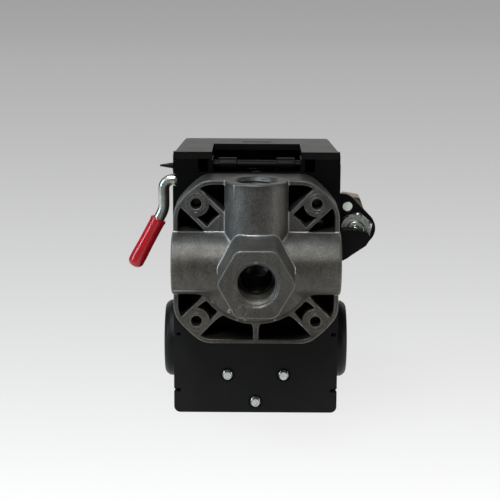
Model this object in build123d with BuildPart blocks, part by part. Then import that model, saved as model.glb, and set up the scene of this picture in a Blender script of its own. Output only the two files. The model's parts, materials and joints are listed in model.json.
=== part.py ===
from build123d import *
import os

# Air-compressor pressure switch with a four-way die-cast manifold.
# Frame: origin at the centre of the main port where its thread begins, -Y out of
# that port, +Z up towards the hinge end, +X towards the unloader valve. Millimetres.

os.makedirs("parts", exist_ok=True)

# ---- driving dimensions ----
port_radius = 6.1            # thread crest radius of the 1/4-18 NPT ports
port_depth = 14.0
port_mouth_radius = 7.4
port_chamfer = 1.3
passage_radius = 4.2

hex_across_flats = 22.5
hex_corner = 2.4
hex_front = -port_chamfer
hex_spread = 0.55            # casting draft of the hex over its length
rim_y = 31.5                 # front rim plane of the flange, and the cross tubes' axis
flange_half_x = 28.5
flange_half_z = 28.7
flange_corner_radius = 33.8
flange_depth = 16.0
rim_wall = 1.7
tube_radius = 10.7
cross_tube_half = 28.9
top_tube_end = 28.9
hub_radius = 21.0
hub_dome = 6.5
spine = 2.1                  # rib on the centre line below the hub
chamber_depth = 3.6          # recess behind the hub that the piston moves into
diaphragm_gauge = 1.2
boss_radius = 4.6
boss_hole_radius = 1.8
corner_hole = 20.6           # half the spacing of the corner holes
rib = 1.5

plate_y = rim_y + flange_depth
plate_thickness = 2.0
plate_half = 29.4
plate_top = 33.7
plate_bottom = -59.0
plate_back = plate_y + plate_thickness

cover_half = 29.4
cover_top = 36.2
cover_far_y = 92.5
cover_far_half = 27.6
cover_far_top = 35.2
cover_wall = 2.0
cover_floor = 1.4            # thinner wall at the lower end
cover_corner = 1.8

hinge_y = 53.3
hinge_z = 31.0
hinge_pin_radius = 1.5
lug_inner = 15.4
sheet = 1.5                  # gauge of the bent lugs and ears

lever_front = 52.3
lever_gauge = 2.0
lever_back = lever_front + lever_gauge
lever_half = 14.6
lever_end = -24.0

piston_radius = 12.0
diaphragm_radius = 20.0
running = 0.05               # radial clearance of the running fits

grommet_y = 72.5
grommet_z = -37.8
grommet_radius = 14.2
ear_radius = 14.8
knockout_radius = 11.0

range_z = 17.0
stud_radius = 3.0
cup_front = 74.0
cup_back = 75.6
nut_height = 5.0

post_z = -18.5
post_flats = 7.0
differential_x = 10.8
differential_z = -17.5

valve_x = 35.7
valve_z = 7.1
ear_front = 59.5
ear_gauge = 2.0
nut_front = 56.3

rod_radius = 2.0
rod_y = 54.5
rod_z = 25.3
rod_points = [(-15.2, rod_z), (-33.0, rod_z), (-33.0, 14.6), (-43.4, -5.0)]
sleeve_radius = 2.9
sleeve_start = (-34.9, 11.2)
sleeve_tip = (-44.1, -6.2)

block_screw_places = [(-10.1, -44.7), (10.1, -44.7), (0.0, -54.8)]
block_screw_radius = 1.75
terminal_x = [-18.0, -7.0, 7.0, 18.0]
terminal_screw_z = -37.5
contact_z = -29.5


def front(y):
    """Upright plane at y whose sketch axes are +X and +Z; extrude(-d) goes to +Y."""
    return Plane.XZ.offset(-y)


def side(x):
    """Upright plane at x whose sketch axes are +Y and +Z; extrude(d) goes to +X."""
    return Plane.YZ.offset(x)


def save(part, label):
    part.label = label
    export_step(part, "parts/" + label + ".step")


def disc(x, z, y0, y1, radius, mode=Mode.ADD):
    """Round stretch along Y inside the current part."""
    with BuildSketch(front(y0)) as face:
        with Locations((x, z)):
            Circle(radius)
    extrude(face.sketch, amount=-(y1 - y0), mode=mode)


def block(x0, x1, y0, y1, z0, z1, mode=Mode.ADD):
    """Rectangular stretch inside the current part, from its low to its high corners."""
    with BuildSketch(front(y0)) as face:
        with Locations(((x0 + x1) / 2, (z0 + z1) / 2)):
            Rectangle(x1 - x0, z1 - z0)
    extrude(face.sketch, amount=-(y1 - y0), mode=mode)


def hexagon(x, z, y0, y1, across_flats, turn=0.0):
    """Hexagonal stretch along Y inside the current part."""
    with BuildSketch(front(y0)) as face:
        with Locations((x, z)):
            RegularPolygon(across_flats / 2, 6, major_radius=False, rotation=turn)
    extrude(face.sketch, amount=-(y1 - y0))


def cut_port(mouth, passage_depth):
    """Tapped port with a chamfered mouth; the plane's normal points out of the port."""
    with BuildSketch(mouth) as bore:
        Circle(port_radius)
    extrude(bore.sketch, amount=-port_depth, mode=Mode.SUBTRACT)
    with BuildSketch(mouth) as wide:
        Circle(port_mouth_radius)
    with BuildSketch(mouth.offset(-port_chamfer)) as narrow:
        Circle(port_radius)
    loft([wide.sketch.face(), narrow.sketch.face()], mode=Mode.SUBTRACT)
    with BuildSketch(mouth) as passage:
        Circle(passage_radius)
    extrude(passage.sketch, amount=-passage_depth, mode=Mode.SUBTRACT)


def coil(x, z, y0, y1, mean_radius, wire_radius, turns):
    """Compression spring along Y; its wire stays between y0 and y1."""
    height = y1 - y0 - 2 * wire_radius
    with BuildPart() as spring:
        with BuildLine() as path:
            Helix(height / turns, height, mean_radius, center=(x, y0 + wire_radius, z), direction=(0, 1, 0))
        with BuildSketch(Plane(origin=path.line @ 0, z_dir=path.line % 0)):
            Circle(wire_radius)
        sweep()
    return spring.part


# ---- manifold ----
rib_offset = boss_radius - rib / 2      # middle of each of the two ribs beside a corner hole
hole_pitch = corner_hole * 2 ** 0.5
corner_reach = flange_corner_radius
dome_middle = (0.55 * hub_radius, rim_y - 0.72 * hub_dome)
spine_length = 12.0

with BuildPart() as manifold:
    with BuildSketch(front(rim_y)):
        Rectangle(2 * flange_half_x, 2 * flange_half_z)
        Circle(flange_corner_radius, mode=Mode.INTERSECT)
    extrude(amount=-flange_depth)
    with BuildSketch(front(rim_y)):
        Rectangle(2 * (flange_half_x - rim_wall), 2 * (flange_half_z - rim_wall))
        Circle(flange_corner_radius - rim_wall, mode=Mode.INTERSECT)
    extrude(amount=-flange_depth, mode=Mode.SUBTRACT)
    with BuildSketch(front(rim_y)):
        Circle(hub_radius)
        with PolarLocations(hole_pitch, 4, start_angle=45):
            Circle(boss_radius)
        with PolarLocations((hole_pitch + corner_reach) / 2, 4, start_angle=45):
            Rectangle(corner_reach - hole_pitch, 2 * boss_radius)
        with PolarLocations((hub_radius + corner_reach) / 2 - 1, 4, start_angle=45):
            with Locations((0, rib_offset), (0, -rib_offset)):
                Rectangle(corner_reach - hub_radius + 2, rib)
        Rectangle(2 * flange_half_x, 2 * tube_radius)
        with Locations((0, flange_half_z / 2)):
            Rectangle(2 * tube_radius, flange_half_z)
        with Locations((0, -flange_half_z + spine_length / 2)):
            Rectangle(spine, spine_length)
        Rectangle(2 * flange_half_x, 2 * flange_half_z, mode=Mode.INTERSECT)
        Circle(flange_corner_radius, mode=Mode.INTERSECT)
    extrude(amount=-flange_depth)
    with BuildSketch(side(-cross_tube_half)):
        with Locations((rim_y, 0)):
            Circle(tube_radius)
    extrude(amount=2 * cross_tube_half)
    with BuildSketch(Plane.XY):
        with Locations((0, rim_y)):
            Circle(tube_radius)
    extrude(amount=top_tube_end)
    # low dome over the lower half of the hub; the upper half is flat
    with BuildSketch(Plane.XY):
        with BuildLine():
            ThreePointArc((hub_radius, rim_y), dome_middle, (0, rim_y - hub_dome))
            Line((0, rim_y - hub_dome), (0, rim_y))
            Line((0, rim_y), (hub_radius, rim_y))
        make_face()
    revolve(axis=Axis.Y, revolution_arc=180)
    with BuildSketch(front(hex_front)) as hex_face:
        RegularPolygon(hex_across_flats / 2, 6, major_radius=False)
        fillet(hex_face.vertices(), hex_corner)
    with BuildSketch(front(rim_y)) as hex_root:
        RegularPolygon(hex_across_flats / 2 + hex_spread, 6, major_radius=False)
        fillet(hex_root.vertices(), hex_corner)
    loft()
    cut_port(front(hex_front), plate_y - hex_front - 2)
    cut_port(Plane(origin=(-cross_tube_half, rim_y, 0), z_dir=(-1, 0, 0)), cross_tube_half)
    cut_port(Plane(origin=(cross_tube_half, rim_y, 0), z_dir=(1, 0, 0)), cross_tube_half)
    cut_port(Plane(origin=(0, rim_y, top_tube_end), z_dir=(0, 0, 1)), top_tube_end)
    disc(0, 0, plate_y - chamber_depth, plate_y, piston_radius, mode=Mode.SUBTRACT)
    disc(0, 0, plate_y - diaphragm_gauge, plate_y, diaphragm_radius, mode=Mode.SUBTRACT)
    with BuildSketch(front(rim_y)):
        with PolarLocations(hole_pitch, 4, start_angle=45):
            Circle(boss_hole_radius)
    extrude(amount=-flange_depth, mode=Mode.SUBTRACT)
save(manifold.part, "manifold")


# ---- diaphragm and piston ----
with BuildPart() as diaphragm:
    disc(0, 0, plate_y - diaphragm_gauge, plate_y, diaphragm_radius)
save(diaphragm.part, "diaphragm")

piston_front = plate_y + 0.1
piston_shoulder = plate_y + 3.0
piston_nose = lever_front - 0.35
nose_radius = 3.2

with BuildPart() as piston:
    disc(0, 0, piston_front, piston_shoulder, piston_radius)
    disc(0, 0, piston_shoulder, piston_nose, nose_radius)
save(piston.part, "piston")

# ---- base frame: plate, hinge lugs and the two ears that hold the grommets ----
neck_bottom = -50.0
neck_top = -30.4
notch_width = 1.3
rod_notch = (24.0, 29.4)       # height span of the notch that clears the AUTO/OFF rod
window_half = 20.5
window_bottom = 29.0
ear_y0 = 53.0
plate_corner = 2.3
notch_reach = 2.4
lug_y = 58.5
lug_z = (20.4, 33.4)
frame_screw_hole = 2.0
screw_sink = (0.6, 2.6)         # depth and radius of the countersinks of the block screws
stud_root = 2.4                # root radius shared by the range stud and the cover post
thin_stud_root = 1.6
rivet_x = 22.6
rivet_z = (11.2, 14.9)
rivet_radius = 1.2

with BuildPart() as base_frame:
    with BuildSketch(front(plate_y)) as plate_face:
        with Locations((0, (plate_top + plate_bottom) / 2)):
            Rectangle(2 * plate_half, plate_top - plate_bottom)
        fillet(plate_face.vertices().group_by(Axis.Z)[0], plate_corner)
        with Locations((0, (plate_top + window_bottom) / 2)):
            Rectangle(2 * window_half, plate_top - window_bottom, mode=Mode.SUBTRACT)
        for sign in (-1, 1):
            for z in (neck_bottom - notch_width / 2, neck_top + notch_width / 2):
                with Locations((sign * (plate_half - notch_reach / 2), z)):
                    Rectangle(notch_reach, notch_width, mode=Mode.SUBTRACT)
        with Locations((-plate_half, (rod_notch[0] + rod_notch[1]) / 2)):
            Rectangle(3.0, rod_notch[1] - rod_notch[0], mode=Mode.SUBTRACT)
        Circle(piston_radius + running, mode=Mode.SUBTRACT)
    extrude(amount=-plate_thickness)
    for sign in (-1, 1):
        inner = plate_half - sheet
        with BuildSketch(side(inner if sign > 0 else -plate_half)):
            with Locations(((plate_y + ear_y0) / 2 + 0.5, (neck_bottom + neck_top) / 2)):
                Rectangle(ear_y0 - plate_y + 1, neck_top - neck_bottom)
            with Locations(((ear_y0 + grommet_y) / 2, grommet_z)):
                Rectangle(grommet_y - ear_y0, 2 * ear_radius)
            with Locations((grommet_y, grommet_z)):
                Circle(ear_radius)
                Circle(knockout_radius, mode=Mode.SUBTRACT)
        extrude(amount=sheet)
        with BuildSketch(side(lug_inner if sign > 0 else -lug_inner - sheet)):
            with Locations(((plate_y + lug_y) / 2, (lug_z[0] + lug_z[1]) / 2)):
                Rectangle(lug_y - plate_y, lug_z[1] - lug_z[0])
        extrude(amount=sheet)
    block(-lug_inner, lug_inner, plate_y, plate_back, window_bottom, plate_top, mode=Mode.SUBTRACT)
    with BuildSketch(side(-20)):
        with Locations((hinge_y, hinge_z)):
            Circle(hinge_pin_radius)
    extrude(amount=40, mode=Mode.SUBTRACT)
    with BuildSketch(side(-20)):
        with Locations((rod_y, rod_z)):
            Circle(rod_radius + running)
    extrude(amount=10, mode=Mode.SUBTRACT)
    for x in (-corner_hole, corner_hole):
        for z in (-corner_hole, corner_hole):
            disc(x, z, plate_y, plate_back, frame_screw_hole, mode=Mode.SUBTRACT)
    for x, z in block_screw_places:
        disc(x, z, plate_y, plate_back, block_screw_radius, mode=Mode.SUBTRACT)
        disc(x, z, plate_y, plate_y + screw_sink[0], screw_sink[1], mode=Mode.SUBTRACT)
    disc(0, range_z, plate_y, plate_back, stud_root, mode=Mode.SUBTRACT)
    disc(0, post_z, plate_y, plate_back, stud_root, mode=Mode.SUBTRACT)
    disc(differential_x, differential_z, plate_y, plate_back, thin_stud_root, mode=Mode.SUBTRACT)
    for z in rivet_z:
        disc(rivet_x, z, plate_y, plate_back, rivet_radius, mode=Mode.SUBTRACT)
save(base_frame.part, "base_frame")

frame_screw_reach = 9.5          # how far these screws run into the casting
frame_screw_radius = 1.75
frame_screw_head = (2.0, 3.0)    # height and radius

with BuildPart() as frame_screws:
    for x in (-corner_hole, corner_hole):
        for z in (-corner_hole, corner_hole):
            disc(x, z, plate_y - frame_screw_reach, plate_back, frame_screw_radius)
            disc(x, z, plate_back, plate_back + frame_screw_head[0], frame_screw_head[1])
save(frame_screws.part, "frame_screws")

# ---- main lever, its pin, the contact carrier and the unloader arm ----
with BuildPart() as hinge_pin:
    with BuildSketch(side(-lug_inner - sheet - 1)):
        with Locations((hinge_y, hinge_z)):
            Circle(hinge_pin_radius)
    extrude(amount=2 * (lug_inner + sheet + 1))
save(hinge_pin.part, "hinge_pin")

knuckles = [(-13.5, -7.0), (7.0, 13.5)]
knuckle_radius = 2.4
lever_top = 28.0
lever_holes = [
    ((0, range_z), 4.2),
    ((0, post_z), 5.0),
    ((differential_x, differential_z), 2.8),
]

with BuildPart() as main_lever:
    with BuildSketch(front(lever_front)):
        with Locations((0, (lever_top + lever_end) / 2)):
            Rectangle(2 * lever_half, lever_top - lever_end)
        for x0, x1 in knuckles:
            with Locations(((x0 + x1) / 2, (lever_top + hinge_z) / 2)):
                Rectangle(x1 - x0, hinge_z - lever_top)
        for place, radius in lever_holes:
            with Locations(place):
                Circle(radius, mode=Mode.SUBTRACT)
    extrude(amount=-lever_gauge)
    for x0, x1 in knuckles:
        with BuildSketch(side(x0)):
            with Locations((hinge_y, hinge_z)):
                Circle(knuckle_radius)
        extrude(amount=x1 - x0)
    with BuildSketch(side(-lever_half)):
        with Locations((hinge_y, hinge_z)):
            Circle(hinge_pin_radius + running)
    extrude(amount=2 * lever_half, mode=Mode.SUBTRACT)
save(main_lever.part, "main_lever")

arm_root = lever_half + 0.3
arm_z = (-3.5, 7.6)
arm_outline = [
    (arm_root, arm_z[0]),
    (31.2, arm_z[0]),
    (39.2, 1.9),
    (40.9, 4.6),
    (39.8, 6.6),
    (36.0, arm_z[1]),
    (arm_root, arm_z[1]),
    (arm_root, arm_z[0]),
]

with BuildPart() as unloader_arm:
    with BuildSketch(front(lever_back)) as arm_foot:
        with Locations((6.2 + lever_half / 2, 2.0)):
            Rectangle(lever_half - 3, 11.0)
    extrude(amount=-sheet)
    with BuildSketch(front(lever_front)) as arm_face:
        with BuildLine():
            Polyline(*arm_outline)
        make_face()
        fillet(arm_face.vertices().group_by(Axis.X)[-1], 1.5)
    extrude(amount=-lever_gauge)
    block(arm_root, 19.0, lever_front, lever_back + sheet, arm_z[0], 7.5)
save(unloader_arm.part, "unloader_arm")

# ---- contact carrier, bridges and the fixed contact block ----
strip_front = 60.0
strip_gauge = 1.0
tip_height = 1.0
bridge_front = strip_front + strip_gauge + tip_height + 0.35
carrier_half = 20.5
carrier_shelf = 1.0              # its top stays below the cover post over the whole stroke
carrier_back = 68.0
carrier_end = -33.0
bridge_x = [-12.5, 12.5]
bridge_z = (-32.0, -27.0)
bridge_half = 8.0
peg_half = 2.0
peg_back = bridge_front + 1.7
bridge_face = bridge_front + 0.7

with BuildPart() as contact_carrier:
    block(-carrier_half, carrier_half, lever_back, carrier_back, lever_end, lever_end + carrier_shelf)
    block(-carrier_half, carrier_half, peg_back, carrier_back, carrier_end, lever_end)
    for x in bridge_x:
        block(x - peg_half, x + peg_half, bridge_face, peg_back, *bridge_z)
save(contact_carrier.part, "contact_carrier")

with BuildPart() as contact_bridges:
    for middle in bridge_x:
        block(middle - bridge_half, middle + bridge_half, bridge_face, peg_back, *bridge_z)
        block(middle - peg_half, middle + peg_half, bridge_face, peg_back, *bridge_z, mode=Mode.SUBTRACT)
        block(middle - bridge_half, middle + bridge_half, bridge_front + 0.3, bridge_face, -31.0, -28.0)
        for reach in (-5.5, 5.5):
            disc(middle + reach, contact_z, bridge_front, bridge_face, 1.7)
save(contact_bridges.part, "contact_bridges")

block_half = 23.0
block_step_y = 56.0
block_foot_y = 52.0
block_levels = (-57.3, -51.8, -42.0, -26.0)
barrier_x = [-22.4, -12.5, 0.0, 12.5, 22.4]
barrier_back = 66.0
terminal_screw_radius = 1.7
terminal_screw_front = 53.0

with BuildPart() as contact_block:
    block(-block_half, block_half, plate_back, strip_front, block_levels[2], block_levels[3])
    block(-block_half, block_half, plate_back, block_step_y, block_levels[1], block_levels[2])
    block(-3.6, 3.6, plate_back, block_foot_y, block_levels[0], block_levels[1])
    for x in barrier_x:
        block(x - 0.6, x + 0.6, strip_front, barrier_back, block_levels[2], -34.0)
    for x, z in block_screw_places:
        disc(x, z, plate_back, strip_front, block_screw_radius, mode=Mode.SUBTRACT)
    for x in terminal_x:
        disc(x, terminal_screw_z, terminal_screw_front, strip_front, terminal_screw_radius,
             mode=Mode.SUBTRACT)
save(contact_block.part, "contact_block")

with BuildPart() as block_screws:
    for x, z in block_screw_places:
        seat = block_foot_y if x == 0.0 else block_step_y
        disc(x, z, plate_y - 2.0, seat, block_screw_radius)
        disc(x, z, seat, seat + 2.4, 2.5)
save(block_screws.part, "block_screws")

with BuildPart() as terminal_strips:
    for x in terminal_x:
        block(x - 3.3, x + 3.3, strip_front, strip_front + strip_gauge, -41.6, -26.6)
        disc(x, contact_z, strip_front + strip_gauge, strip_front + strip_gauge + tip_height, 1.8)
        disc(x, terminal_screw_z, strip_front, strip_front + strip_gauge, terminal_screw_radius,
             mode=Mode.SUBTRACT)
save(terminal_strips.part, "terminal_strips")

clamp_front = strip_front + strip_gauge + 0.2
clamp_back = clamp_front + 1.0
clamp_half = 3.3
head_back = clamp_back + 2.2

with BuildPart() as terminal_screws:
    for x in terminal_x:
        disc(x, terminal_screw_z, terminal_screw_front, clamp_back, terminal_screw_radius)
        disc(x, terminal_screw_z, clamp_back, head_back, 3.1)
        block(x - 3.0, x + 3.0, head_back - 0.4, head_back, terminal_screw_z - 0.4, terminal_screw_z + 0.4,
              mode=Mode.SUBTRACT)
save(terminal_screws.part, "terminal_screws")

with BuildPart() as clamp_plates:
    for x in terminal_x:
        block(x - clamp_half, x + clamp_half, clamp_front, clamp_back, terminal_screw_z - clamp_half,
              terminal_screw_z + clamp_half)
        disc(x, terminal_screw_z, clamp_front, clamp_back, terminal_screw_radius, mode=Mode.SUBTRACT)
save(clamp_plates.part, "clamp_plates")

# ---- pressure adjustment: two studs with springs, cups and nuts ----
stud_back = 85.5
spring_gap = 0.35

with BuildPart() as range_stud:
    disc(0, range_z, plate_y, plate_back, stud_root)
    disc(0, range_z, plate_back, plate_back + 1.5, 3.9)
    disc(0, range_z, plate_back, stud_back, stud_radius)
save(range_stud.part, "range_stud")
save(coil(0, range_z, lever_back + spring_gap, cup_front - spring_gap, 6.3, 0.85, 6), "range_spring")

cup_radius = 8.2
cup_neck = (2.0, 5.1)           # height and radius of the neck inside the spring

with BuildPart() as spring_cup:
    disc(0, range_z, cup_front, cup_back, cup_radius)
    disc(0, range_z, cup_front - cup_neck[0], cup_front, cup_neck[1])
    disc(0, range_z, cup_front - cup_neck[0], cup_back, stud_radius + 0.35, mode=Mode.SUBTRACT)
save(spring_cup.part, "spring_cup")

with BuildPart() as range_nut:
    hexagon(0, range_z, cup_back + 0.3, cup_back + 0.3 + nut_height, 10.0)
    disc(0, range_z, cup_back, cup_back + 6, stud_radius + running, mode=Mode.SUBTRACT)
    chamfer(range_nut.edges().filter_by(GeomType.CIRCLE, reverse=True).group_by(Axis.Y)[-1], 0.5)
save(range_nut.part, "range_nut")

thin_stud_radius = 2.0
washer_front = 57.35             # the lever just clears it at the end of its stroke
washer_back = 58.15
thin_nut = (67.7, 71.2)

with BuildPart() as differential_stud:
    disc(differential_x, differential_z, plate_y, plate_back, thin_stud_root)
    disc(differential_x, differential_z, plate_back, plate_back + 1.2, 2.4)
    disc(differential_x, differential_z, plate_back, 74.0, thin_stud_radius)
save(differential_stud.part, "differential_stud")
differential_coil = coil(differential_x, differential_z, washer_back + 0.05, thin_nut[0] - 0.1, 3.2, 0.45, 6)
save(differential_coil, "differential_spring")

with BuildPart() as differential_nut:
    hexagon(differential_x, differential_z, thin_nut[0], thin_nut[1], 7.0)
    disc(differential_x, differential_z, thin_nut[0], thin_nut[1], thin_stud_radius, mode=Mode.SUBTRACT)
save(differential_nut.part, "differential_nut")

with BuildPart() as differential_washer:
    disc(differential_x, differential_z, washer_front, washer_back, 4.0)
    disc(differential_x, differential_z, washer_front, washer_back, thin_stud_radius + running,
         mode=Mode.SUBTRACT)
save(differential_washer.part, "differential_washer")

cover_screw_radius = 1.65
with BuildPart() as cover_post:
    disc(0, post_z, plate_y, plate_back, stud_root)
    hexagon(0, post_z, plate_back, cover_far_y - cover_wall, post_flats)
    disc(0, post_z, cover_far_y - 14.0, cover_far_y - cover_wall, cover_screw_radius, mode=Mode.SUBTRACT)
save(cover_post.part, "cover_post")

# ---- cover and its screw ----
arm_slot = (-6.0, 20.4)       # height span of the opening in the right wall
arm_slot_back = 62.6
lever_slot = (22.6, 28.0)     # height span of the opening in the left wall
lever_slot_back = 57.6
notch_half = 15.7
notch_depth = 25.0
slit_half = 5.3
slit_y = plate_y + 30.5
slit_width = 1.6
ear_clearance = 0.4
pointer_y = 53.0
pointer_z = 30.5
pointer_radius = 1.2
pointer_tip = -34.2
inner_half = cover_half - cover_wall
far_inner_half = cover_far_half - cover_wall
inner_bottom = plate_bottom + cover_floor
far_inner_top = cover_far_top - cover_wall
notch_floor = plate_top - 3.0

with BuildPart() as cover:
    with BuildSketch(front(plate_back)):
        with Locations((0, (cover_top + plate_bottom) / 2)):
            Rectangle(2 * cover_half, cover_top - plate_bottom)
    with BuildSketch(front(cover_far_y)):
        with Locations((0, (cover_far_top + plate_bottom) / 2)):
            Rectangle(2 * cover_far_half, cover_far_top - plate_bottom)
    loft()
    long_edges = cover.edges().filter_by(lambda edge: abs((edge % 0.5).Y) > 0.9).group_by(Axis.Z)[-1]
    far_edges = cover.faces().sort_by(Axis.Y)[-1].edges().sort_by(Axis.Z)[1:]
    fillet(long_edges + far_edges, cover_corner)
    with BuildSketch(front(plate_back)):
        with Locations((0, (plate_top + inner_bottom) / 2)):
            Rectangle(2 * inner_half, plate_top - inner_bottom)
    with BuildSketch(front(cover_far_y - cover_wall)):
        with Locations((0, (far_inner_top + inner_bottom) / 2)):
            Rectangle(2 * far_inner_half, far_inner_top - inner_bottom)
    loft(mode=Mode.SUBTRACT)
    block(-cover_half + 0.25, cover_half - 0.25, plate_y, plate_back, plate_top, cover_top)
    block(-notch_half, notch_half, plate_y, plate_y + notch_depth, notch_floor, cover_top + 1,
          mode=Mode.SUBTRACT)
    block(-slit_half, slit_half, slit_y, slit_y + slit_width, notch_floor, cover_top + 1,
          mode=Mode.SUBTRACT)
    block(cover_half - 8, cover_half + 1, plate_y, arm_slot_back, *arm_slot, mode=Mode.SUBTRACT)
    block(-cover_half - 1, -cover_half + 8, plate_y, lever_slot_back, *lever_slot, mode=Mode.SUBTRACT)
    for x0 in (-cover_half - 1, cover_half - 7):
        with BuildSketch(side(x0)):
            with Locations(((plate_y + grommet_y) / 2, grommet_z)):
                Rectangle(grommet_y - plate_y, 2 * (ear_radius + ear_clearance))
            with Locations((grommet_y, grommet_z)):
                Circle(ear_radius + ear_clearance)
        extrude(amount=8, mode=Mode.SUBTRACT)
    disc(0, post_z, cover_far_y - cover_wall, cover_far_y, 2.2, mode=Mode.SUBTRACT)
    # pointer moulded on the left wall above the AUTO/OFF lever
    with BuildSketch(side(-cover_half + 0.6)) as pointer_root:
        with Locations((pointer_y, pointer_z)):
            Circle(pointer_radius)
    with BuildSketch(side(pointer_tip)) as pointer_end:
        with Locations((pointer_y, pointer_z)):
            Circle(0.3)
    loft([pointer_root.sketch.face(), pointer_end.sketch.face()])
save(cover.part, "cover")

screw_head_radius = 3.4
screw_head_back = cover_far_y + 2.2
with BuildPart() as cover_screw:
    disc(0, post_z, cover_far_y - 12.0, cover_far_y, cover_screw_radius)
    disc(0, post_z, cover_far_y, screw_head_back, screw_head_radius)
    fillet(cover_screw.edges().group_by(Axis.Y)[-1], 1.0)
    block(-screw_head_radius, screw_head_radius, screw_head_back - 0.9, screw_head_back, post_z - 0.5,
          post_z + 0.5, mode=Mode.SUBTRACT)
save(cover_screw.part, "cover_screw")

# ---- cable grommets, one in each ear ----
grommet_proud = 4.2
cable_hole = 4.5
grommet_inner_x = 25.6
barb_radius = 12.6
inner_flange_radius = 13.2
for label, sign in (("cable_grommet_left", -1), ("cable_grommet_right", 1)):
    with BuildPart() as grommet:
        with BuildSketch(Plane.XY) as profile:
            with BuildLine():
                Polyline(
                    (sign * grommet_inner_x, cable_hole),
                    (sign * grommet_inner_x, barb_radius),
                    (sign * (plate_half - sheet), inner_flange_radius),
                    (sign * (plate_half - sheet), knockout_radius),
                    (sign * plate_half, knockout_radius),
                    (sign * plate_half, grommet_radius),
                    (sign * (plate_half + grommet_proud - 1.4), grommet_radius),
                    (sign * (plate_half + grommet_proud), grommet_radius - 1.6),
                    (sign * (plate_half + grommet_proud), cable_hole),
                    (sign * grommet_inner_x, cable_hole),
                )
            make_face()
        revolve(axis=Axis.X)
    grommet.part.position = (0, grommet_y, grommet_z)
    save(grommet.part, label)

# ---- unloader bracket, its rivets and the valve ----
ear_lobes = [                    # x, z and radius of the ear's rounded corners
    (36.9, 6.9, 6.1),
    (31.0, 14.3, 5.2),
    (30.0, 0.9, 6.0),
]
ear_hole = (32.9, 14.8, 1.8)
bracket_x = (20.0, 25.6, 27.2)
bracket_z = (9.2, 16.8, 19.4)
bracket_gauge = 1.6

with BuildPart() as unloader_bracket:
    with BuildSketch(front(ear_front)) as ear_face:
        for x, z, radius in ear_lobes:
            with Locations((x, z)):
                Circle(radius)
        with Locations((26.8, 7.2)):
            Rectangle(2.4, 24.6)
        make_hull()
        with Locations((valve_x, valve_z)):
            Circle(stud_radius, mode=Mode.SUBTRACT)
        with Locations((ear_hole[0], ear_hole[1])):
            Circle(ear_hole[2], mode=Mode.SUBTRACT)
    extrude(amount=-ear_gauge)
    block(bracket_x[1], bracket_x[2], plate_back, ear_front + ear_gauge, bracket_z[0], bracket_z[2])
    block(bracket_x[0], bracket_x[2], plate_back, plate_back + bracket_gauge, bracket_z[0], bracket_z[1])
    for z in rivet_z:
        disc(rivet_x, z, plate_back, plate_back + bracket_gauge, rivet_radius, mode=Mode.SUBTRACT)
save(unloader_bracket.part, "unloader_bracket")

with BuildPart() as bracket_rivets:
    for z in rivet_z:
        disc(rivet_x, z, plate_y, plate_back + bracket_gauge, rivet_radius)
        disc(rivet_x, z, plate_back + bracket_gauge, plate_back + bracket_gauge + 0.8, 1.75)
save(bracket_rivets.part, "bracket_rivets")

with BuildPart() as unloader_locknut:
    hexagon(valve_x, valve_z, nut_front, ear_front, 11.0, turn=18)
    disc(valve_x, valve_z, nut_front, ear_front, stud_radius, mode=Mode.SUBTRACT)
    chamfer(unloader_locknut.edges().filter_by(GeomType.CIRCLE, reverse=True).group_by(Axis.Y)[0], 0.45)
save(unloader_locknut.part, "unloader_locknut")

seal_front = 86.0
stop_y = 95.5
valve_flats = 11.0
body_start = nut_front - 0.2
body_end = 98.0
body_radius = 4.4
body_bore = 2.6
pin_radius = 1.2
seal_radius = 2.2
with BuildPart() as unloader_valve_body:
    disc(valve_x, valve_z, body_start, ear_front + ear_gauge, stud_radius)
    hexagon(valve_x, valve_z, ear_front + ear_gauge, 67.0, valve_flats)
    disc(valve_x, valve_z, 67.0, body_end, body_radius)
    disc(valve_x, valve_z, body_start, seal_front, pin_radius + running, mode=Mode.SUBTRACT)
    disc(valve_x, valve_z, seal_front, body_end, body_bore, mode=Mode.SUBTRACT)
save(unloader_valve_body.part, "unloader_valve_body")

with BuildPart() as valve_pin:
    disc(valve_x, valve_z, lever_back + 0.5, seal_front + 0.3, pin_radius)
    disc(valve_x, valve_z, seal_front + 0.1, seal_front + 2.0, seal_radius)
save(valve_pin.part, "valve_pin")
save(coil(valve_x, valve_z, seal_front + 2.1, stop_y, 1.8, 0.3, 7), "valve_spring")

with BuildPart() as spring_stop:
    disc(valve_x, valve_z, stop_y + 0.1, stop_y + 1.3, body_bore)
    disc(valve_x, valve_z, stop_y + 0.1, stop_y + 1.3, pin_radius, mode=Mode.SUBTRACT)
save(spring_stop.part, "spring_stop")

tube_bore = 3.2
nut_y = (93.5, 103.5)
ferrule_back = 100.0
with BuildPart() as compression_nut:
    hexagon(valve_x, valve_z, nut_y[0], nut_y[1], valve_flats, turn=-9.5)
    disc(valve_x, valve_z, nut_y[0], ferrule_back, body_radius, mode=Mode.SUBTRACT)
    disc(valve_x, valve_z, ferrule_back, nut_y[1], tube_bore, mode=Mode.SUBTRACT)
save(compression_nut.part, "compression_nut")

with BuildPart() as ferrule:
    disc(valve_x, valve_z, body_end, ferrule_back, body_radius)
    disc(valve_x, valve_z, body_end, ferrule_back, tube_bore, mode=Mode.SUBTRACT)
save(ferrule.part, "ferrule")

# ---- AUTO/OFF lever: bent rod, retaining collar, cam and red sleeve ----
with BuildPart() as auto_off_rod:
    with BuildLine() as rod_path:
        FilletPolyline(*[(x, rod_y, z) for x, z in rod_points], radius=[3.3, 8.0])
    with BuildSketch(Plane(origin=rod_path.line @ 0, z_dir=rod_path.line % 0)):
        Circle(rod_radius)
    sweep()
save(auto_off_rod.part, "auto_off_rod")

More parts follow.
